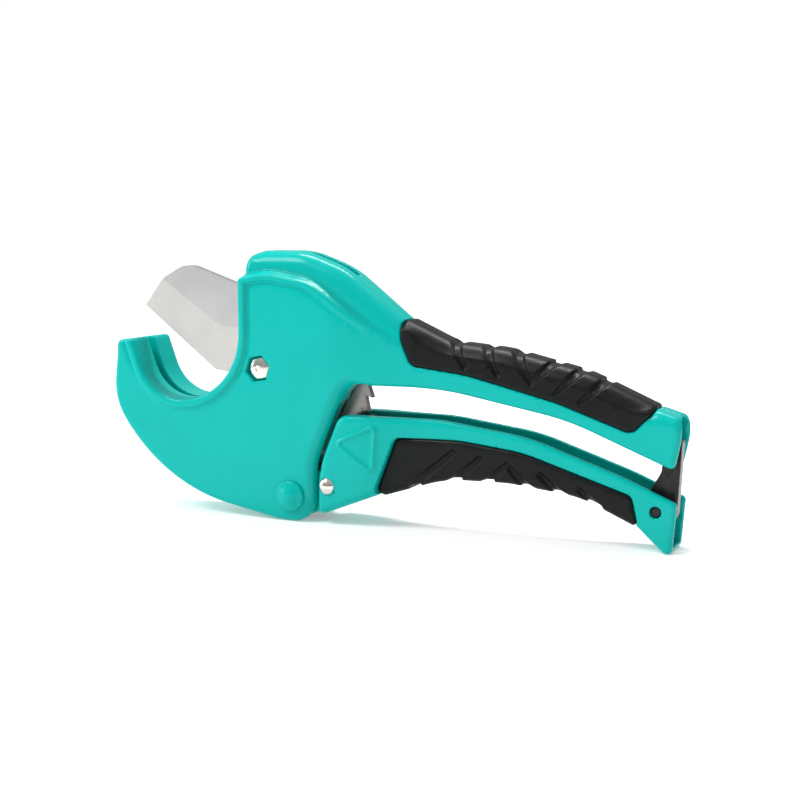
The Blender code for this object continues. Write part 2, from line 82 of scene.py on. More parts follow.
# Places along Y, from the near side to the far side.
BOLT_RECESS_FLOOR = -10.5
NUT_RECESS_FLOOR = 9.5
HOLD_PIN_STOP = -8.4  # its hole is blind on the near side
WASHER_POCKET = (7.0, -2.6, 0.0)  # radius, near end, far end
SPRING_POCKET = (7.6, 0.0, 8.2)
BOLT_SHANK = (-11.6, 12.6)

# Half widths, measured from the middle plane.
CORE_HALF = 7.4
CHANNEL_HALF = 5.8
GRIP_HALF = 9.3
SLOT_HALF = 2.0
BLADE_HALF = 1.5
CAVITY_HALF = 8.9
LUG_HALF = 8.5
LUG_INNER = 4.9
PAWL_HALF = 3.0
LATCH_HALF = 2.3

# Radii of the edges that a handle's core has under its grip.
UPPER_CORE_EDGE = 5.0
LOWER_CORE_EDGE = 2.6

# The blade's bevels: the main one starts on the line from START to KNEE, the heel's at KNEE.
BEVEL_START = (-97.4, 91.6)
BEVEL_KNEE = (-70.8, 73.3)
EDGE_HALF = 0.22
BEVEL_WIDTH = 16.8
HEEL_SLOPE = 0.93  # the heel bevel's steepness over the main one's
GROUND_END = -57.5  # X of the shoulder where the grinding stops

# The ratchet sector, as radii and angles round the blade's axis.
TOOTH_TIP = 44.5
TOOTH_ROOT = 41.3
TOOTH_PITCH = 7.2
FIRST_TOOTH = 29.8
TEETH = 12


# ---------------------------------------------------------------- outlines


def rounded(corners, closed=True):
    """The points of an outline, from corners (x, z, radius) rounded by arcs."""
    points = []
    for i, (x, z, radius) in enumerate(corners):
        if radius == 0 or (not closed and i in (0, len(corners) - 1)):
            points.append((x, z))
            continue
        before, after = corners[i - 1], corners[(i + 1) % len(corners)]
        to_before = Vector((before[0] - x, before[1] - z)).normalized()
        to_after = Vector((after[0] - x, after[1] - z)).normalized()
        opening = to_before.angle(to_after)
        reach = radius / tan(opening / 2)
        centre = Vector((x, z)) + (to_before + to_after).normalized() * (radius / sin(opening / 2))
        start = Vector((x, z)) + to_before * reach - centre
        end = Vector((x, z)) + to_after * reach - centre
        turn = (atan2(end.y, end.x) - atan2(start.y, start.x) + pi) % (2 * pi) - pi
        steps = max(3, ceil(abs(degrees(turn)) / ARC_STEP))
        for step in range(steps + 1):
            points.append(tuple(centre + Matrix.Rotation(turn * step / steps, 2) @ start))
    return points


def polar(radius, angle, centre=BLADE_AXIS):
    """The point at this radius and angle, in degrees from +X towards +Z."""
    return (
        centre[0] + radius * cos(radians(angle)),
        centre[1] + radius * sin(radians(angle)),
    )


def arc(radius, first, last, centre=BLADE_AXIS):
    """Points round the centre, from the first angle to the last."""
    steps = max(1, ceil(abs(last - first) / ARC_STEP))
    return [polar(radius, first + (last - first) * i / steps, centre) for i in range(steps + 1)]


def sharp(points):
    """These points as corners that rounded() leaves sharp."""
    return [(x, z, 0) for x, z in points]


def hexagon(flats):
    """The hexagon round the blade's axis that is this wide across its flats."""
    radius = flats / 2 / cos(pi / 6)
    return [polar(radius, HEX_TURN + 60 * i) for i in range(6)]


# ---------------------------------------------------------------- distance fields


class Grid:
    """Sample points in millimetres round a CAD node, spaced by step."""

    def __init__(self, node, step, margin=3.0):
        low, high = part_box(node)
        low = [value / MM - margin for value in low]
        high = [value / MM + margin for value in high]
        self.low, self.step = np.array(low), step
        axes = [
            start + step * np.arange(ceil((end - start) / step) + 1, dtype=np.float32)
            for start, end in zip(low, high)
        ]
        self.x = axes[0][:, None, None].astype(np.float32)
        self.y = axes[1][None, :, None].astype(np.float32)
        self.z = axes[2][None, None, :].astype(np.float32)

    def squared(self, a, b):
        """Squared distance to the segment between a and b in the XZ plane."""
        run, rise = b[0] - a[0], b[1] - a[1]
        along = ((self.x - a[0]) * run + (self.z - a[1]) * rise) / (run * run + rise * rise)
        along = np.clip(along, 0, 1)
        return (self.x - a[0] - along * run) ** 2 + (self.z - a[1] - along * rise) ** 2

    def tapered(self, a, b, start, end):
        """Distance to a round-ended bar from a to b, whose radius runs from start to end."""
        run, rise = b[0] - a[0], b[1] - a[1]
        along = ((self.x - a[0]) * run + (self.z - a[1]) * rise) / (run * run + rise * rise)
        return np.sqrt(self.squared(a, b)) - start - (end - start) * np.clip(along, 0, 1)

    def path(self, points):
        """Distance to an open line through these points."""
        pairs = zip(points, points[1:])
        return np.sqrt(np.minimum.reduce([self.squared(a, b) for a, b in pairs]))

    def outline(self, points):
        """Distance to a closed outline, below zero inside it."""
        nearest, inside = np.float32(1e9), False
        for a, b in zip(points, points[1:] + points[:1]):
            nearest = np.minimum(nearest, self.squared(a, b))
            if a[1] != b[1]:
                crossing = (b[0] - a[0]) * (self.z - a[1]) / (b[1] - a[1]) + a[0]
                inside = inside ^ (((a[1] > self.z) != (b[1] > self.z)) & (self.x < crossing))
        return np.sqrt(nearest) * np.where(inside, -1, 1).astype(np.float32)

    def from_axis(self, axis):
        """Distance from an axis along Y."""
        return np.hypot(self.x - axis[0], self.z - axis[1])

    def between(self, near, far):
        """Distance to the slab between two places along Y, below zero inside it."""
        return np.abs(self.y - (near + far) / 2) - (far - near) / 2

    def spread(self, zones):
        """A value over the XZ plane that blends between lines, each given as (value, its points)."""
        total, weights = 0, 0
        for value, points in zones:
            pairs = zip(points, points[1:])
            nearest = np.minimum.reduce([self.squared(a, b) for a, b in pairs])
            weight = 1 / (nearest + 2) ** 2  # the 2 keeps it finite on the line itself
            total = total + weight * value
            weights = weights + weight
        return total / weights

    def along(self, stations, blur=5.0):
        """A value along X, on softened straight lines through stations of (x, value)."""
        xs, values = zip(*stations)
        shifts = np.linspace(-blur, blur, 11)
        return sum(np.interp(self.x + shift, xs, values) for shift in shifts) / len(shifts)

    def value_at(self, field, points):
        """The field between its samples, at points in millimetres."""
        place = (points - self.low) / self.step
        corner = np.clip(np.floor(place).astype(int), 0, np.array(field.shape) - 2)
        part = place - corner
        total = 0
        for shift in np.ndindex(2, 2, 2):
            weight = np.abs(1 - np.array(shift) - part).prod(axis=1)
            total = total + weight * field[tuple((corner + shift).T)]
        return total

    def slope_at(self, field, points):
        """The field's gradient at these points."""
        columns = []
        for axis in range(3):
            nudge = np.zeros(3)
            nudge[axis] = self.step / 2
            ahead = self.value_at(field, points + nudge)
            columns.append((ahead - self.value_at(field, points - nudge)) / self.step)
        return np.stack(columns, axis=1)


def meet(a, b, radius=0.0):
    """What lies in both a and b, with the edge between them rounded."""
    a, b = a + radius, b + radius
    return np.minimum(np.maximum(a, b), 0) + np.hypot(np.maximum(a, 0), np.maximum(b, 0)) - radius


def join(a, b, radius=0.0):
    """What lies in a or b, with a fillet between them."""
    return -meet(-a, -b, radius)


def cut(a, b, radius=0.0):
    """What lies in a but not in b, with the edge between them rounded."""
    return meet(a, -b, radius)


def ease(value, low, high):
    """From 0 at low to 1 at high, levelling off at both."""
    share = np.clip((value - low) / (high - low), 0, 1)
    return share * share * (3 - 2 * share)


def add(name, data):
    """An object of this mesh, curve, light or camera, placed in the scene."""
    made = bpy.data.objects.new(name, data)
    bpy.context.scene.collection.objects.link(made)
    return made


def solid(name, grid, field, mat, flatness=0.03):
    """A mesh object of the field's zero level, with its normals taken from the field.

    flatness, from 0 to 1, is how readily a flat stretch takes larger faces.
    """
    field = np.ascontiguousarray(np.clip(field, -3 * grid.step, 3 * grid.step), np.float32)
    level = openvdb.FloatGrid(3 * grid.step)
    level.copyFromArray(field)
    points, triangles, quads = level.convertToPolygons(0.0, flatness)
    points = grid.low + points * grid.step
    for _ in range(2):  # each pass brings the points closer to the true surface
        slope = grid.slope_at(field, points)
        steepness = np.maximum((slope**2).sum(axis=1), 0.1)
        shift = np.clip(grid.value_at(field, points) / steepness, -grid.step / 2, grid.step / 2)
        points = points - slope * shift[:, None]
    normals = grid.slope_at(field, points)
    normals /= np.maximum(np.linalg.norm(normals, axis=1, keepdims=True), 1e-6)
    faces = [tuple(face) for face in triangles.tolist() + quads.tolist()]
    a, b, c = (points[quads[:, i]] for i in range(3))
    if (np.cross(b - a, c - a) * normals[quads[:, 0]]).sum() < 0:
        faces = [face[::-1] for face in faces]
    mesh = bpy.data.meshes.new(name)
    mesh.from_pydata((points * MM).tolist(), [], faces)
    mesh.shade_smooth()
    mesh.normals_split_custom_set_from_vertices(normals.tolist())
    mesh.materials.append(mat)
    return add(name, mesh)


def settle(piece, body, slot, *nodes):
    """The piece rides on a CAD body and stands for CAD nodes; its slot argument is not used."""
    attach(piece, body)
    if nodes:
        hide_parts(*nodes)
    return piece


# ---------------------------------------------------------------- materials


class Surface:
    """A material on a Principled shader, with procedural detail in millimetres."""

    def __init__(self, name, **sockets):
        self.material = bpy.data.materials.new(name)
        self.material.use_nodes = True
        self.tree = self.material.node_tree
        self.shader = self.tree.nodes["Principled BSDF"]
        for socket, value in sockets.items():
            self.shader.inputs[socket.replace("_", " ")].default_value = value
        self.place = self.node("ShaderNodeTexCoord").outputs["Object"]

    def node(self, kind, ordered=(), **inputs):
        made = self.tree.nodes.new(kind)
        for socket, value in zip(made.inputs, ordered):
            self.feed(socket, value)
        for socket, value in inputs.items():
            self.feed(made.inputs[socket.replace("_", " ")], value)
        return made

    def feed(self, socket, value):
        if isinstance(value, bpy.types.NodeSocket):
            self.tree.links.new(value, socket)
        else:
            socket.default_value = value

    def noise(self, size, detail=3.0, stretch=(1, 1, 1), turn=(0, 0, 0)):
        """Noise with features about this many millimetres across, drawn out along the axes by stretch."""
        mapping = self.node("ShaderNodeMapping", Vector=self.place)
        mapping.inputs["Scale"].default_value = [1 / (size * MM * s) for s in stretch]
        mapping.inputs["Rotation"].default_value = [radians(angle) for angle in turn]
        noise = self.node("ShaderNodeTexNoise", Vector=mapping.outputs[0], Scale=1, Detail=detail)
        return noise.outputs[0]

    def range(self, value, low, high, start=0.3, end=0.7):
        made = self.node("ShaderNodeMapRange", Value=value)
        for socket, number in zip(("From Min", "From Max", "To Min", "To Max"), (start, end, low, high)):
            made.inputs[socket].default_value = number
        return made.outputs[0]

    def beyond(self, point, direction):
        """Metres past a line in the XZ plane through a point in millimetres."""
        length = (direction[0] ** 2 + direction[1] ** 2) ** 0.5
        normal = (direction[0] / length, 0, direction[1] / length)
        shift = self.node("ShaderNodeVectorMath", (self.place, (-point[0] * MM, 0, -point[1] * MM)))
        dot = self.node("ShaderNodeVectorMath", (shift.outputs[0], normal))
        dot.operation = "DOT_PRODUCT"
        return dot.outputs["Value"]

    def mix(self, share, first, second):
        """The first colour, giving way to the second as share goes from 0 to 1."""
        made = self.node("ShaderNodeMix")
        made.data_type = "RGBA"
        self.feed(made.inputs["Factor"], share)
        first_socket, second_socket = (socket for socket in made.inputs if socket.type == "RGBA")
        self.feed(first_socket, first)
        self.feed(second_socket, second)
        return next(socket for socket in made.outputs if socket.type == "RGBA")

    def ramp(self, value, *stops):
        ramp = self.node("ShaderNodeValToRGB", Fac=value)
        first, last = ramp.color_ramp.elements
        first.position, first.color = stops[0][0], (*stops[0][1], 1)
        last.position, last.color = stops[-1][0], (*stops[-1][1], 1)
        for position, colour in stops[1:-1]:
            ramp.color_ramp.elements.new(position).color = (*colour, 1)
        return ramp.outputs[0]

    def colours(self, value, *stops):
        self.feed(self.shader.inputs["Base Color"], self.ramp(value, *stops))

    def roughness(self, value):
        self.feed(self.shader.inputs["Roughness"], value)

    def bumps(self, *layers):
        """Bump layers of (height, millimetres deep), each on top of the last."""
        normal = None
        for height, depth in layers:
            bump = self.node("ShaderNodeBump", Height=height, Strength=1.0, Distance=depth * MM)
            if normal:
                self.feed(bump.inputs["Normal"], normal)
            normal = bump.outputs[0]
        self.feed(self.shader.inputs["Normal"], normal)


def teal_paint():
    """Gloss stoved enamel on a casting, with a faint orange peel."""
    paint = Surface("teal_enamel", Specular_IOR_Level=0.08, Coat_Weight=0.14, Coat_Roughness=0.07)
    paint.colours(paint.noise(26, 2), (0.3, (0.0, 0.405, 0.362)), (0.7, (0.0, 0.430, 0.385)))
    paint.roughness(paint.range(paint.noise(4.0), 0.22, 0.32))
    paint.bumps((paint.noise(2.2, 1), 0.010), (paint.noise(0.5, 2), 0.0015))
    return paint.material


def black_rubber():
    """Satin moulded rubber with a fine spark-eroded grain."""
    rubber = Surface("black_rubber", Specular_IOR_Level=0.16)
    rubber.colours(rubber.noise(9, 3), (0.3, (0.004, 0.0045, 0.005)), (0.7, (0.006, 0.0065, 0.007)))
    rubber.roughness(rubber.range(rubber.noise(3.0), 0.32, 0.44))
    rubber.bumps((rubber.noise(0.35, 2), 0.012))
    return rubber.material


def ground_steel():
    """Satin blade steel, a little warmer on its two ground bevels and darker on its ratchet sector. The
    sector's darkening is partly an as-forged oxide tone and partly painted shade for where it sits inside
    the head.
    """
    steel = Surface("ground_steel", Metallic=1.0)
    run, rise = BEVEL_KNEE[0] - BEVEL_START[0], BEVEL_KNEE[1] - BEVEL_START[1]
    main = steel.beyond(BEVEL_START, (rise, -run))
    heel = steel.beyond(BEVEL_KNEE, (0, -1))
    either = steel.node("ShaderNodeMath", (main, heel)).outputs[0]
    either.node.operation = "MAXIMUM"
    below = steel.range(either, 0, 1, -0.1 * MM, 0.1 * MM)
    ahead = steel.range(steel.beyond((GROUND_END, 0), (-1, 0)), 0, 1, -0.8 * MM, 0.0)
    bevel = steel.node("ShaderNodeMath", (below, ahead)).outputs[0]
    bevel.node.operation = "MULTIPLY"
    grind = steel.noise(0.5, 2, (30, 1, 1), (0, 52, 0))
    clouds = steel.noise(14, 3)
    flat_colour = steel.ramp(clouds, (0.3, (0.53, 0.53, 0.535)), (0.7, (0.59, 0.59, 0.59)))
    bevel_colour = steel.ramp(clouds, (0.3, (0.47, 0.465, 0.45)), (0.7, (0.51, 0.50, 0.485)))
    # Darker ratchet sector: partly an as-forged oxide tone, partly painted shade because the sector lies
    # in the head's cavity.
    sector = steel.range(steel.beyond((-30, 0), (1, 0)), 0, 1, -6 * MM, 6 * MM)
    sector_oxide_and_shade_colour = steel.ramp(clouds, (0.3, (0.20, 0.19, 0.18)), (0.7, (0.28, 0.27, 0.26)))
    blade_colour = steel.mix(bevel, flat_colour, bevel_colour)
    steel.feed(steel.shader.inputs["Base Color"], steel.mix(sector, blade_colour, sector_oxide_and_shade_colour))
    steel.roughness(steel.range(grind, 0.27, 0.34))
    steel.bumps((grind, 0.0005))
    return steel.material


def blackened_steel():
    """Pressed steel with a black oxide finish."""
    steel = Surface("blackened_steel", Metallic=0.6)
    steel.colours(steel.noise(3, 4), (0.3, (0.012, 0.012, 0.013)), (0.7, (0.030, 0.029, 0.028)))
    steel.roughness(steel.range(steel.noise(1.2), 0.34, 0.50))
    steel.bumps((steel.noise(0.6, 3), 0.006))
    return steel.material


def sheen_painted_steel():
    """Lighter grey steel for the latch's rear edge. It is a painted sheen that stands in for the back
    light's grazing reflection on the black latch, with streaks across its thickness.
    """
    steel = Surface("sheen_painted_steel", Metallic=1.0)
    streaks = steel.noise(0.5, 3, (1, 14, 1))
    steel.colours(streaks, (0.3, (0.15, 0.15, 0.147)), (0.7, (0.23, 0.228, 0.222)))
    steel.roughness(steel.range(streaks, 0.32, 0.48))
    steel.bumps((streaks, 0.01))
    return steel.material


def bright_nickel():
    """Polished nickel plate with the odd soft mark."""
    nickel = Surface("nickel_plate", Metallic=1.0)
    nickel.colours(nickel.noise(2.5, 4), (0.3, (0.66, 0.62, 0.57)), (0.7, (0.78, 0.75, 0.70)))
    nickel.roughness(nickel.range(nickel.noise(1.5, 4), 0.13, 0.24))
    nickel.bumps((nickel.noise(0.8, 3), 0.003))
    return nickel.material


def spring_wire():
    """Drawn spring wire with a grey phosphate skin."""
    wire = Surface("spring_wire", Metallic=1.0)
    wire.colours(wire.noise(1.0, 3), (0.3, (0.30, 0.29, 0.28)), (0.7, (0.46, 0.45, 0.43)))
    wire.roughness(wire.range(wire.noise(0.6), 0.28, 0.42))
    wire.bumps((wire.noise(0.25, 2), 0.003))
    return wire.material


TEAL = teal_paint()
RUBBER = black_rubber()
GROUND = ground_steel()
BLACKENED = blackened_steel()
EDGE_SHEEN_PAINT = sheen_painted_steel()
NICKEL = bright_nickel()
WIRE = spring_wire()


# ---------------------------------------------------------------- head and upper handle

# The hollow that holds the pipe, from the jaw to the upright throat.
CRADLE = [(-96.3, 45.0, 18.8), (-56.2, 45.0, 27.0)]

# The shoulder where the thick side walls step in to the hood, from the handle to the throat.
SHOULDER = [(10.0, 70.5, 40), (-10.0, 82.5, 60), (-25.5, 93.2, 24), (-44.0, 96.2, 24)]

SIDE_WALLS = rounded(
    [
        (-105.0, 68.4, 1.8),
        (-112.6, 67.4, 2.2),
        (-115.3, 43.4, 24.5),
        (-92.8, 10.3, 74),
        (-38.8, 0.0, 30),
        (-23.8, 0.0, 10.2),
        (-23.8, 24.0, 26),
        (-11.2, 54.2, 8),
        (14.0, 54.4, 30),
        (30.0, 58.0, 2.5),
        (30.0, 64.0, 2.5),
    ]
    + SHOULDER
    + [(-56.2, 93.8, 2.2)]
    + CRADLE[::-1]
)

BELOW_SHOULDER = rounded(
    [(-140.0, -20.0, 0), (60.0, -20.0, 0), (60.0, 56.0, 0), (30.0, 62.0, 8)]
    + SHOULDER
    + [(-64.0, 92.4, 0), (-140.0, 92.4, 0)]
)

# The raised rim that runs from the jaw's tip round the cradle, up the throat and along the shoulder.
RIM = rounded([(-106.0, 71.0, 0)] + CRADLE + [(-56.2, 94.0, 2.2)] + SHOULDER[::-1], closed=False)
RIM_WIDTH = 3.1
RIM_RISE = 1.1
RIM_GROOVE_DEPTH = 0.4
RIM_GROOVE_WIDTH = 0.8
PANEL_HALF = 12.9
PARTING_DEPTH = 0.45
PARTING_WIDTH = 0.6

TAIL_END = [(112.6, 29.4, 2.0), (114.8, 40.0, 20), (114.8, 47.6, 3.0), (106.0, 50.2, 4)]
HANDLE_UNDERSIDE = [(-2.0, 53.8, 0), (26.0, 53.6, 120), (74.0, 44.8, 100)]
HANDLE_TOP = [(80.0, 61.3, 60), (50.0, 68.1, 60), (29.0, 69.7, 20), (12.5, 76.9, 20)]
HOOD_TOP = [(-14.0, 97.4, 40), (-31.0, 103.5, 30), (-55.5, 103.5, 8), (-55.5, 80.0, 0)]
SPINE = rounded(HANDLE_UNDERSIDE + TAIL_END + HANDLE_TOP + HOOD_TOP)

BLADE_SLOT = rounded(
    [
        (-110.6, 80.0, 0),
        (-111.2, 40.6, 13),
        (-84.0, 15.0, 34),
        (-58.0, 11.4, 8),
        (-26.0, 11.4, 0),
        (-1.6, 44.0, 0),
        (-1.6, 67.0, 6),
        (-11.0, 86.5, 0),
        (-11.0, 112.0, 0),
        (-64.0, 112.0, 0),
        (-64.0, 80.0, 0),
    ]
)

LUG_CAVITY = rounded(
    [
        (-44.8, -8.0, 0),
        (-44.8, 20.8, 9),
        (-26.5, 20.8, 6),
        (-15.0, 48.0, 5),
        (4.0, 48.0, 0),
        (4.0, -8.0, 0),
    ]
)

UPPER_CHANNEL = rounded(
    [
        (-8.0, 40.0, 0),
        (-8.0, 60.0, 4),
        (0.5, 72.0, 3),
        (12.0, 71.0, 8),
        (28.0, 65.6, 30),
        (50.0, 63.4, 60),
        (80.0, 56.4, 60),
        (100.5, 47.4, 3),
        (118.0, 47.0, 0),
        (118.0, 20.0, 0),
        (74.0, 34.0, 0),
    ]
)

UPPER_GRIP = rounded(
    [
        (14.4, 61.8, 4),
        (36.0, 59.4, 60),
        (70.0, 51.2, 60),
        (97.6, 41.6, 4),
        (106.4, 50.8, 1.5),
        (80.0, 62.2, 60),
        (50.0, 69.2, 60),
        (29.0, 71.0, 25),
        (9.4, 79.8, 2),
        (10.4, 71.0, 6),
    ]
)

UPPER_CORE = rounded(
    [
        (0.0, 40.0, 0),
        (120.0, 20.0, 0),
        (109.0, 45.4, 0),
        (80.0, 59.0, 60),
        (50.0, 65.9, 60),
        (29.0, 67.5, 20),
        (0.0, 80.0, 0),
    ]
)

# The latch hooks behind this rib in the upper handle's tail.
CATCH_RIB = rounded(
    [(98.6, 36.6, 1.2), (101.8, 36.6, 1.2), (101.8, 39.6, 1.2), (98.6, 39.6, 1.2)]
)

# Radii of the head's outer edges, each along a line.
HEAD_EDGES = [
    (1.6, [(-112, 67), (-105, 68), (-102, 60), (-96, 50), (-84, 45.5), (-70, 46), (-60, 54)]),
    (1.6, [(-60, 54), (-56.2, 66), (-56.2, 92)]),
    (2.0, [(-114.4, 60), (-114, 45), (-108, 33), (-96, 21), (-80, 11), (-60, 4), (-42, 0)]),
    (2.6, [(-38, 0), (-27, 1)]),
    (4.4, [(-23.8, 8), (-23.8, 22), (-20, 34), (-14, 47), (-11, 53)]),
    (2.4, [(-4, 54.2), (12, 54)]),
    (1.8, [(20, 54), (50, 50.5), (74, 45), (112, 29.6)]),
    (1.8, [(112.8, 32), (114.6, 42)]),
    (4.2, [(114, 48), (108, 50)]),
    (7.4, [(103, 51.2), (80, 61.3), (50, 68), (29, 70), (18, 74.6)]),
    (6.6, [(10, 78.6), (-14, 97), (-31, 103.5), (-48, 103.5)]),
    (3.0, [(-55.5, 101), (-55.5, 95)]),
]


def head_thickness(g, walls_below):
    """Half the head's thickness over the XZ plane: rim, groove, panel, shoulder and hood."""
    to_rim = g.path(RIM)
    fading = 1 - ease(g.x, -26, 2)
    wall = g.along([(-16, PANEL_HALF), (0, 10.9), (14, 9.2), (30, 8.6)])
    wall = wall + RIM_RISE * fading * (1 - ease(to_rim, RIM_WIDTH - 0.3, RIM_WIDTH + 0.8))
    past_rim = (to_rim - RIM_WIDTH - 1.2) / RIM_GROOVE_WIDTH
    wall = wall - RIM_GROOVE_DEPTH * fading * ease(g.z, 50, 62) * np.exp(-(past_rim**2))
    hood = g.along([(-8, 9.8), (16, 8.8), (40, 8.6)])
    return wall + (hood - wall) * ease(walls_below, -1.9, 0.9)


def parting_groove(g, spine):
    """How deep the mould's parting line sinks into the back of the handle and hood."""
    across = np.exp(-((g.y / PARTING_WIDTH) ** 2))
    return PARTING_DEPTH * across * ease(g.x, -12, -10) * (1 - ease(-spine, 2, 5))


def head():
    """The casting of head and upper handle, hollowed for the blade, the lower handle and the latch."""
    g = Grid("body_casting", CAST_STEP)
    side = np.abs(g.y)
    spine = g.outline(SPINE)
    silhouette = join(g.outline(SIDE_WALLS), spine, 0.8)
    thickness = head_thickness(g, g.outline(BELOW_SHOULDER))
    body = meet(silhouette, side - thickness, g.spread(HEAD_EDGES))
    body = cut(body, meet(g.outline(BLADE_SLOT), side - SLOT_HALF), 0.5)
    body = cut(body, meet(g.outline(LUG_CAVITY), side - CAVITY_HALF, 0.6), 0.6)
    body = cut(body, meet(g.outline(UPPER_CHANNEL), side - CHANNEL_HALF, 3.0), 0.7)
    core = meet(g.outline(UPPER_CORE), side - CORE_HALF, UPPER_CORE_EDGE)
    body = cut(body, cut(g.outline(UPPER_GRIP) - SEAM, core), 0.35)
    body = body + parting_groove(g, spine)
    recess = g.outline(hexagon(HEX_RECESS_FLATS))
    body = cut(body, meet(recess, g.y - BOLT_RECESS_FLOOR), 0.4)
    body = cut(body, meet(recess, NUT_RECESS_FLOOR - g.y), 0.4)
    to_bolt = g.from_axis(BLADE_AXIS)
    body = cut(body, to_bolt - BOLT_RADIUS - GAP)
    for radius, near, far in (WASHER_POCKET, SPRING_POCKET):
        body = cut(body, meet(to_bolt - radius, g.between(near, far)))
    body = cut(body, g.from_axis(HANDLE_AXIS) - HANDLE_PIN_RADIUS - GAP)
    body = cut(body, meet(g.from_axis(HOLD_AXIS) - HOLD_PIN_RADIUS - GAP, HOLD_PIN_STOP - g.y))
    body = join(body, meet(g.outline(CATCH_RIB), side - CHANNEL_HALF - 1), 0.4)
    piece = solid("cast_head", g, body, TEAL)
    settle(piece, "frame", "teal_paint", "body_casting")


# ---------------------------------------------------------------- lower handle

LOWER_TOP = [(-13.6, 42.3, 5), (26.0, 42.3, 80), (60.0, 37.8, 80), (95.0, 25.9, 100)]
LOWER_TAIL = [(113.9, 18.0, 1.8), (112.4, 0.0, 1.8), (109.6, 0.0, 2), (98.5, 10.2, 6)]
LOWER_BOTTOM = [(79.0, 18.6, 40), (52.0, 21.5, 50), (28.0, 21.1, 50), (4.0, 13.6, 30)]
LOWER_FRONT = [(-22.4, 3.2, 2), (-22.6, 16.0, 30), (-20.8, 25.0, 30)]
LOWER_HANDLE = rounded(LOWER_TOP + LOWER_TAIL + LOWER_BOTTOM + LOWER_FRONT)

LUGS = rounded(
    sharp(arc(9.4, 75, 285, HANDLE_AXIS)) + [(-20.0, 5.6, 1), (-12.0, 12.0, 0), (-12.0, 21.0, 0)]
)

LOWER_CHANNEL = rounded(
    [
        (-14.0, 60.0, 0),
        (-14.0, 22.0, 0),
        (0.0, 19.0, 10),
        (20.0, 24.0, 60),
        (50.0, 26.0, 60),
        (78.0, 22.8, 60),
        (96.6, 13.4, 10),
        (109.6, 2.2, 3),
        (120.0, 2.2, 0),
        (120.0, 60.0, 0),
    ]
)

PAWL_CHANNEL = rounded(
    [
        (-60.0, -10.0, 0),
        (-26.5, -10.0, 0),
        (-22.5, 9.8, 3),
        (-13.0, 9.8, 4),
        (8.0, 24.0, 4),
        (8.0, 60.0, 0),
        (-60.0, 60.0, 0),
    ]
)

LOWER_GRIP = rounded(
    [
        (8.6, 34.8, 3),
        (34.0, 35.0, 60),
        (58.0, 32.2, 60),
        (98.0, 19.6, 3),
        (100.6, 8.2, 1.5),
        (79.0, 17.6, 40),
        (52.0, 20.5, 50),
        (28.0, 20.1, 50),
        (2.0, 11.8, 2),
        (1.0, 15.0, 3),
    ]
)

LOWER_CORE = rounded(
    [
        (-20.0, 60.0, 0),
        (120.0, 60.0, 0),
        (120.0, 6.0, 0),
        (98.5, 12.0, 0),
        (79.0, 20.6, 40),
        (52.0, 23.5, 50),
        (28.0, 23.1, 50),
        (-4.0, 13.6, 0),
    ]
)

TRIANGLE = rounded([(-14.4, 31.9, 1.4), (1.4, 39.0, 1.4), (0.4, 21.3, 1.4)])
TRIANGLE_RISE = 0.65
TRIANGLE_WIDTH = 0.8

LOWER_EDGES = [
    (2.4, [(-22, 5), (-22.5, 14), (-20.8, 25), (-17, 36), (-14, 41)]),
    (1.3, [(-6, 42.3), (26, 42.3), (60, 37.6), (95, 26), (112, 18.4)]),
    (1.5, [(113.6, 16), (112.4, 2)]),
    (2.0, [(109, 0.5), (99, 9)]),
    (2.6, [(92, 13.2), (79, 18.2), (52, 21.2), (28, 20.8), (4, 13.6), (-20, 3.6)]),
]


def lower_handle():
    """The channel-shaped lower handle, with two lugs round the pivot pin."""
    g = Grid("lower_handle_casting", CAST_STEP)
    side = np.abs(g.y)
    thickness = g.along([(-6, 13.3), (4, 11.6), (14, 9.6), (24, 8.6)])
    ring = g.path(TRIANGLE + TRIANGLE[:1])
    thickness = thickness + TRIANGLE_RISE * np.exp(-((ring / TRIANGLE_WIDTH) ** 2))
    body = meet(g.outline(LOWER_HANDLE), side - thickness, g.spread(LOWER_EDGES))
    body = join(body, meet(g.outline(LUGS), side - LUG_HALF, 0.4), 0.4)
    body = cut(body, meet(g.outline(LOWER_CHANNEL), side - CHANNEL_HALF, 1.0), 0.6)
    body = cut(body, meet(g.outline(PAWL_CHANNEL), side - LUG_INNER, 0.8), 0.5)
    core = meet(g.outline(LOWER_CORE), side - CORE_HALF, LOWER_CORE_EDGE)
    body = cut(body, cut(g.outline(LOWER_GRIP) - SEAM, core), 0.35)
    body = cut(body, g.from_axis(HANDLE_AXIS) - HANDLE_PIN_RADIUS - GAP)
    body = cut(body, g.from_axis(PAWL_AXIS) - RIVET_RADIUS - GAP)
    body = cut(body, g.from_axis(LATCH_AXIS) - LATCH_PIN_RADIUS - GAP, 0.3)
    piece = solid("cast_lower_handle", g, body, TEAL)
    settle(piece, "lower_handle", "teal_paint", "lower_handle_casting")


# ---------------------------------------------------------------- grips

# Finger grooves: outer end on the grip's back, inner end on its side.
UPPER_GROOVES = [
    ((29.9, 72.4), (35.7, 62.4)),
    ((42.0, 71.6), (48.3, 60.2)),
    ((53.4, 69.8), (61.1, 57.6)),
    ((70.2, 66.8), (61.1, 57.6)),
    ((79.6, 63.8), (70.4, 54.8)),
    ((88.6, 60.4), (79.4, 51.8)),
]
LOWER_GROOVES = [
    ((14.6, 16.6), (31.5, 31.0)),
    ((29.6, 18.4), (41.9, 29.2)),
    ((42.6, 18.8), (52.2, 27.6)),
    ((61.4, 18.2), (52.2, 27.6)),
    ((73.2, 17.2), (64.7, 25.0)),
    ((86.0, 14.6), (79.4, 20.6)),
]
GROOVE_RADII = (1.9, 1.15)  # at the outer end and the inner end
GROOVE_DEPTH = 1.0

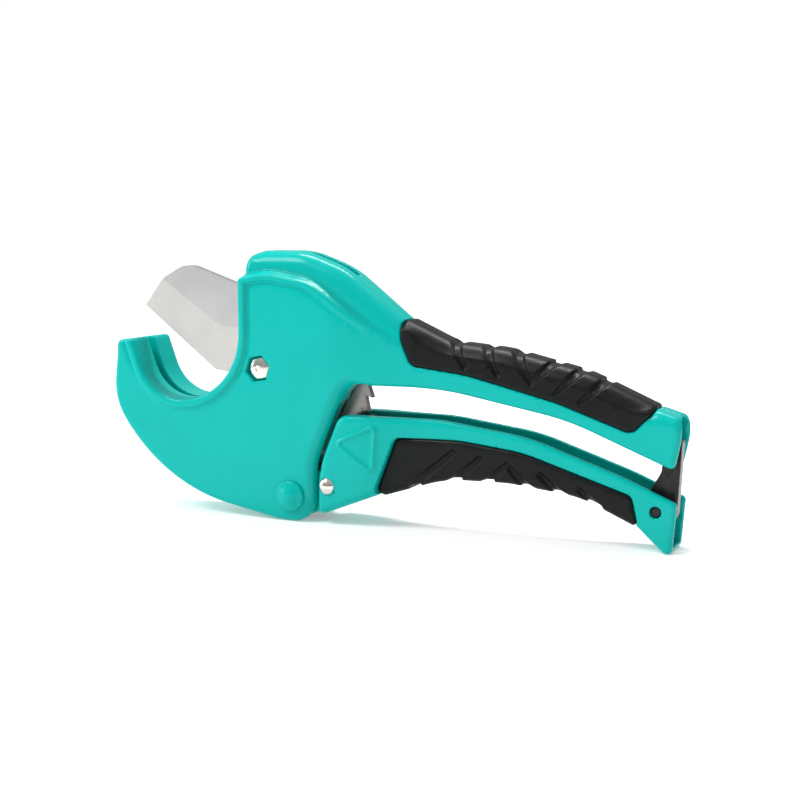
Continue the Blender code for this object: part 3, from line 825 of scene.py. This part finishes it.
UPPER_GRIP_EDGES = [
    (7.0, [(10, 79.4), (18, 76), (29, 71.2), (50, 69.2), (80, 62), (104, 51.6)]),
    (1.0, [(10.3, 73), (10.8, 69), (12.6, 65), (15, 62), (36, 59.6), (70, 51), (96, 42.3)]),
    (1.2, [(99, 43), (104, 47.5)]),
]
LOWER_GRIP_EDGES = [
    (1.0, [(1, 15), (8.6, 34.8), (34, 35), (58, 32), (97, 20)]),
    (1.2, [(98.5, 19), (100.4, 8.5)]),
    (3.0, [(99, 9), (79, 17.6), (52, 20.5), (28, 20.1), (3, 12)]),
]


def grip(name, node, body, outline, core_outline, core_edge, edges, grooves):
    """A moulding that wraps the handle's core, with finger grooves pressed into its outside."""
    g = Grid(node, GRIP_STEP)
    side = np.abs(g.y)
    field = meet(g.outline(outline), side - GRIP_HALF, g.spread(edges))
    channels = np.minimum.reduce([g.tapered(*groove, *GROOVE_RADII) for groove in grooves])
    field = field + GROOVE_DEPTH * ease(-channels, -0.15, 0.75)
    core = meet(g.outline(core_outline), side - CORE_HALF, core_edge)
    field = cut(field, core - GAP, 0.3)
    settle(solid(name, g, field, RUBBER), body, "black_grip", node)


# ---------------------------------------------------------------- blade and pawls


def sector_teeth():
    """The ratchet sector's outline: the tip of each tooth, then the root behind it."""
    points = [polar(TOOTH_ROOT, FIRST_TOOTH + TOOTH_PITCH)]
    for i in range(TEETH):
        angle = FIRST_TOOTH - i * TOOTH_PITCH
        points += [polar(TOOTH_TIP, angle), polar(TOOTH_ROOT, angle + 0.5)]
    return points


BLADE = rounded(
    sharp(sector_teeth() + [polar(TOOTH_ROOT - 1, -55), polar(TOOTH_ROOT - 4, -57)])
    + [
        (-50.0, 43.0, 8),
        (-58.0, 53.8, 6),
        (-74.3, 56.0, 1.2),
        (-106.6, 81.0, 0),
        (-97.5, 92.0, 9),
        (-86.0, 98.2, 11),
        (-62.0, 90.0, 60),
        (-34.0, 81.0, 16),
    ]
)


def ground_half(x, z):
    """Half the blade's thickness: flat, then falling over the bevels to the cutting edge."""
    run, rise = BEVEL_KNEE[0] - BEVEL_START[0], BEVEL_KNEE[1] - BEVEL_START[1]
    past = ((z - BEVEL_START[1]) * run - (x - BEVEL_START[0]) * rise) / (run * run + rise * rise) ** 0.5
    slope = (BLADE_HALF - EDGE_HALF) / BEVEL_WIDTH
    main = BLADE_HALF + slope * past
    heel = BLADE_HALF - slope * HEEL_SLOPE * (BEVEL_KNEE[1] - z)
    return min(BLADE_HALF, max(min(main, heel), BLADE_HALF + x - GROUND_END))


def blade():
    """A plate with crisp bevels: a flat sheet cut along every crease, then thickened to both sides."""
    bm = bmesh.new()
    for loop in (BLADE, arc(BOLT_RADIUS + GAP, 0, 354, BLADE_AXIS)):
        verts = [bm.verts.new((x, 0, z)) for x, z in loop]
        for a, b in zip(verts, verts[1:] + verts[:1]):
            bm.edges.new((a, b))
    edges = bm.edges[:]
    bmesh.ops.triangle_fill(bm, use_beauty=True, use_dissolve=False, edges=edges, normal=(0, -1, 0))
    along = Vector((BEVEL_KNEE[0] - BEVEL_START[0], 0, BEVEL_KNEE[1] - BEVEL_START[1])).normalized()
    across = Vector((along.z, 0, -along.x))
    creases = [
        (BEVEL_START, across),
        (BEVEL_KNEE, Vector((0, 0, 1))),
        (BEVEL_KNEE, across + Vector((0, 0, HEEL_SLOPE))),
    ]
    creases += [((GROUND_END - ahead, 0), Vector((1, 0, 0))) for ahead in (0, 0.5, 1, 1.5)]
    for (x, z), normal in creases:
        everything = bm.verts[:] + bm.edges[:] + bm.faces[:]
        bmesh.ops.bisect_plane(bm, geom=everything, dist=1e-4, plane_co=(x, 0, z), plane_no=normal)
    bmesh.ops.triangulate(bm, faces=bm.faces[:])
    made = bmesh.ops.extrude_face_region(bm, geom=bm.faces[:])["geom"]
    for vert in bm.verts:
        vert.co.y = -ground_half(vert.co.x, vert.co.z)
    for vert in made:
        if isinstance(vert, bmesh.types.BMVert):
            vert.co.y = -vert.co.y
    bmesh.ops.recalc_face_normals(bm, faces=bm.faces[:])
    bmesh.ops.scale(bm, vec=(MM, MM, MM), verts=bm.verts[:])
    mesh = bpy.data.meshes.new("toothed_blade")
    bm.to_mesh(mesh)
    bm.free()
    mesh.shade_smooth()
    mesh.set_sharp_from_angle(angle=radians(1.5))
    mesh.materials.append(GROUND)
    settle(add("toothed_blade", mesh), "blade", "blade_steel", "blade")


def lever(name, node, body, outline, half, axis, hole):
    """A flat blackened lever on a pin."""
    g = Grid(node, LEVER_STEP, 1.5)
    field = meet(g.outline(outline), np.abs(g.y) - half, 0.35)
    field = cut(field, g.from_axis(axis) - hole - GAP, 0.2)
    return settle(solid(name, g, field, BLACKENED, 0.01), body, "black_steel", node)


DRIVE_PAWL = (
    arc(4.4, 150, 330, PAWL_AXIS)
    + arc(51.0, -48, -26)
    + [polar(48.6, -22.6), polar(45.0, -22.0)]
    + arc(45.4, -24, -50)
)
HOLDING_PAWL = arc(3.2, -140, 80, HOLD_AXIS) + [polar(47.4, 8.0), polar(45.0, 6.6), polar(45.4, 3.4)]
LATCH = rounded(
    sharp(arc(6.3, 160, 360, LATCH_AXIS))
    + [
        (114.2, 39.6, 2),
        (107.0, 42.4, 3),
        (102.2, 41.2, 0.8),
        (102.2, 39.0, 0.8),
        (107.4, 37.0, 1.5),
        (107.0, 28.0, 6),
        (102.4, 20.0, 6),
    ]
)


def latch():
    """The latch, with its rear edge painted a lighter grey as a painted sheen."""
    piece = lever("handle_latch", "latch", "latch", LATCH, LATCH_HALF, LATCH_AXIS, LATCH_PIN_RADIUS)
    piece.data.materials.append(EDGE_SHEEN_PAINT)
    # The rear faces high on the latch take the painted sheen: lighter grey in place of the back light's
    # grazing reflection.
    for face in piece.data.polygons:
        if face.normal.x > 0.8 and face.center.z > (LATCH_AXIS[1] - 4) * MM:
            face.material_index = 1


# ---------------------------------------------------------------- pins, bolt and springs


def hex_bolt():
    """The blade's bolt, with a slightly domed head and a dimple in its middle."""
    g = Grid("blade_bolt", PIN_STEP, 1.0)
    across = g.from_axis(BLADE_AXIS)
    top, dimple_floor, underside = -12.5, -12.25, -10.8
    dome = 0.05 * across**2 + top
    head = meet(g.outline(hexagon(HEX_HEAD_FLATS)), dome - g.y, 0.5)
    head = meet(head, g.y - underside, 0.1)
    head = cut(head, meet(across - DIMPLE_RADIUS, g.y - dimple_floor), 0.3)
    shank = meet(across - BOLT_RADIUS, g.between(*BOLT_SHANK), 0.4)
    piece = solid("hex_bolt", g, join(head, shank, 0.2), NICKEL)
    settle(piece, "frame", "bright_nickel", "blade_bolt")


def hex_nut():
    """The bolt's nut, chamfered round its outer face."""
    g = Grid("blade_nut", PIN_STEP, 1.0)
    across = g.from_axis(BLADE_AXIS)
    underside, top, chamfer_from = 9.8, 13.2, 4.0
    face = g.y - top + 0.45 * np.maximum(across - chamfer_from, 0)
    nut = meet(g.outline(hexagon(HEX_HEAD_FLATS)), face, 0.2)
    nut = meet(nut, underside - g.y, 0.15)
    nut = cut(nut, across - BOLT_RADIUS - 0.15, 0.3)
    settle(solid("hex_nut", g, nut, NICKEL), "frame", "bright_nickel", "blade_nut")


def pivot_boss():
    """The handles' pivot pin, with a stepped dome on each side of the head."""
    g = Grid("handle_pivot_pin", BOSS_STEP, 1.0)
    across, side = g.from_axis(HANDLE_AXIS), np.abs(g.y)
    foot_radius, crown_radius, crown_centre = 5.8, 6.7, 9.2
    shank = meet(across - HANDLE_PIN_RADIUS, side - 14)
    foot = meet(across - foot_radius, np.abs(side - 13.4) - 1.0, 0.7)
    crown = np.hypot(across, side - crown_centre) - crown_radius
    field = join(join(foot, crown, 0.9), shank)
    settle(solid("pivot_boss", g, field, TEAL), "frame", "teal_paint", "handle_pivot_pin")


def domed_rivet():
    """The drive pawl's axle, with a dome on each side of the lower handle."""
    g = Grid("drive_pawl_rivet", RIVET_STEP, 1.0)
    across, side = g.from_axis(PAWL_AXIS), np.abs(g.y)
    head_radius, underside, ball_radius, ball_centre = 3.3, 12.9, 4.1, 10.9
    ball = np.hypot(across, side - ball_centre) - ball_radius
    head = meet(meet(ball, underside - side), across - head_radius, 0.25)
    field = join(head, meet(across - RIVET_RADIUS, side - 14))
    piece = solid("pawl_rivet", g, field, NICKEL, 0.003)
    settle(piece, "lower_handle", "bright_nickel", "drive_pawl_rivet")


def plain_pin(name, node, body, axis, radius, mat, slot):
    """A pin as long as its CAD node, with rounded ends."""
    g = Grid(node, PIN_STEP, 1.0)
    near, far = (corner[1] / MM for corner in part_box(node))
    field = meet(g.from_axis(axis) - radius, g.between(near, far), 0.35)
    settle(solid(name, g, field, mat), body, slot, node)


def coil(name, node, body, axis, radius, wire, low, high, turns, first, legs):
    """A torsion spring along Y from low to high, of wire this many millimetres in radius.

    first is the angle that it starts at, and legs are a (length, angle) for each end.
    """
    count = round(turns * 36)
    points = []
    for i in range(count + 1):
        angle = radians(first + 360 * turns * i / count)
        points.append((radius * cos(angle), low + (high - low) * i / count, radius * sin(angle)))
    ends = []
    for (x, y, z), (length, angle) in zip((points[0], points[-1]), legs):
        ends.append((x + length * cos(radians(angle)), y, z + length * sin(radians(angle))))
    path = [ends[0]] + points + [ends[1]]
    curve = bpy.data.curves.new(name, "CURVE")
    curve.dimensions = "3D"
    curve.bevel_depth = wire * MM
    curve.bevel_resolution = 3
    curve.use_fill_caps = True
    spline = curve.splines.new("POLY")
    spline.points.add(len(path) - 1)
    for point, (x, y, z) in zip(spline.points, path):
        point.co = ((axis[0] + x) * MM, y * MM, (axis[1] + z) * MM, 1)
    spline.use_smooth = True
    curve.materials.append(WIRE)
    settle(add(name, curve), body, "spring_steel", node)


def springs():
    """The torsion springs of the blade, the handles and the two pawls."""
    coil(
        "return_coil", "blade_return_spring", "frame", BLADE_AXIS,
        radius=5.2, wire=0.6, low=3.6, high=7.2, turns=2.5, first=0, legs=((0.5, 90), (0.5, 90)),
    )
    coil(
        "opening_coil", "handle_spring", "frame", HANDLE_AXIS,
        radius=4.35, wire=0.5, low=-3.6, high=3.6, turns=4.5, first=180, legs=((5, 250), (7, -60)),
    )
    coil(
        "pawl_coil", "drive_pawl_spring", "lower_handle", PAWL_AXIS,
        radius=3.1, wire=0.25, low=3.6, high=4.3, turns=1.25, first=0, legs=((1, 90), (3, 20)),
    )
    coil(
        "holding_coil", "holding_pawl_spring", "frame", HOLD_AXIS,
        radius=2.6, wire=0.35, low=2.3, high=4.6, turns=2.5, first=0, legs=((4, 60), (3, -60)),
    )


# ---------------------------------------------------------------- studio


def aim(thing, direction):
    """Turn a light or a camera to look this way."""
    thing.rotation_euler = Vector(direction).to_track_quat("-Z", "Y").to_euler()


def soft_light(name, place, target, size, power):
    panel = bpy.data.lights.new(name, "AREA")
    panel.shape = "RECTANGLE"
    panel.size, panel.size_y = size
    panel.energy = power
    light = add(name, panel)
    light.location = place
    aim(light, Vector(target) - Vector(place))


def key_light():
    """A wide sun from the upper left, for soft shadows."""
    sun = bpy.data.lights.new("key", "SUN")
    sun.energy = 1.7
    sun.angle = radians(24)
    aim(add("key", sun), (0.55, 0.6, -1.0))


def sky():
    """A white backdrop for the camera, and for everything else a soft room, darker low down."""
    world = bpy.data.worlds.new("studio")
    world.use_nodes = True
    nodes, links = world.node_tree.nodes, world.node_tree.links
    room, output = nodes["Background"], nodes["World Output"]
    direction = nodes.new("ShaderNodeTexCoord")
    split = nodes.new("ShaderNodeSeparateXYZ")
    ramp = nodes.new("ShaderNodeValToRGB")
    low, high = ramp.color_ramp.elements
    low.color = (0.45, 0.46, 0.47, 1)
    high.position = 0.8
    links.new(direction.outputs["Generated"], split.inputs[0])
    links.new(split.outputs["Z"], ramp.inputs["Fac"])
    links.new(ramp.outputs["Color"], room.inputs["Color"])
    room.inputs["Strength"].default_value = 0.6
    backdrop = nodes.new("ShaderNodeBackground")
    backdrop.inputs["Color"].default_value = (1, 1, 1, 1)
    rays = nodes.new("ShaderNodeLightPath")
    choice = nodes.new("ShaderNodeMixShader")
    links.new(rays.outputs["Is Camera Ray"], choice.inputs[0])
    links.new(room.outputs[0], choice.inputs[1])
    links.new(backdrop.outputs[0], choice.inputs[2])
    links.new(choice.outputs[0], output.inputs["Surface"])
    bpy.context.scene.world = world


def floor():
    """A plain pale floor, far wider than the view."""
    mesh = bpy.data.meshes.new("floor")
    mesh.from_pydata([(-12, -12, 0), (12, -12, 0), (12, 12, 0), (-12, 12, 0)], [], [(0, 1, 2, 3)])
    plane = add("floor", mesh)
    pale = bpy.data.materials.new("pale_floor")
    pale.use_nodes = True
    shader = pale.node_tree.nodes["Principled BSDF"]
    shader.inputs["Base Color"].default_value = (0.8, 0.8, 0.8, 1)
    shader.inputs["Roughness"].default_value = 0.9
    shader.inputs["Specular IOR Level"].default_value = 0.1
    shader.inputs["Emission Color"].default_value = (1, 1, 1, 1)
    shader.inputs["Emission Strength"].default_value = 0.3
    mesh.materials.append(pale)


def photo_camera():
    """The photo's viewpoint: round towards the handles' tails and a little above."""
    lens = bpy.data.cameras.new("camera")
    lens.lens = 63.0
    lens.sensor_width = 36.0
    lens.clip_start = 0.01
    camera = add("camera", lens)
    camera.location = (0.21957, -0.47850, 0.11487)
    azimuth, elevation = radians(24.03), radians(7.3)
    level = cos(elevation)
    aim(camera, (-sin(azimuth) * level, cos(azimuth) * level, -sin(elevation)))
    bpy.context.scene.camera = camera


def studio():
    sky()
    floor()
    soft_light("overhead", (-0.05, 0.25, 0.85), (0, 0, 0.05), (0.5, 0.12), 6)
    soft_light("left_panel", (-0.85, -0.35, 0.35), (-0.06, 0, 0.05), (0.25, 0.5), 3)
    key_light()
    photo_camera()
    bpy.context.scene.view_settings.view_transform = "Standard"


# ---------------------------------------------------------------- the whole tool

head()
lower_handle()
grip(
    "upper_handle_grip", "upper_grip", "frame",
    UPPER_GRIP, UPPER_CORE, UPPER_CORE_EDGE, UPPER_GRIP_EDGES, UPPER_GROOVES,
)
grip(
    "lower_handle_grip", "lower_grip", "lower_handle",
    LOWER_GRIP, LOWER_CORE, LOWER_CORE_EDGE, LOWER_GRIP_EDGES, LOWER_GROOVES,
)
blade()
lever(
    "drive_pawl_strut", "drive_pawl", "drive_pawl",
    DRIVE_PAWL, PAWL_HALF, PAWL_AXIS, RIVET_RADIUS,
)
lever(
    "holding_lever", "holding_pawl", "holding_pawl",
    HOLDING_PAWL, BLADE_HALF, HOLD_AXIS, HOLD_PIN_RADIUS,
)
latch()
hex_bolt()
hex_nut()
pivot_boss()
domed_rivet()
plain_pin(
    "holding_pin", "holding_pawl_pin", "frame",
    HOLD_AXIS, HOLD_PIN_RADIUS, NICKEL, "bright_nickel",
)
plain_pin(
    "latch_cross_pin", "latch_pin", "lower_handle",
    LATCH_AXIS, LATCH_PIN_RADIUS, BLACKENED, "black_steel",
)
springs()
for washer in ("blade_washer_near", "blade_washer_far"):
    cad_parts[washer].material_slots[0].material = WIRE
studio()
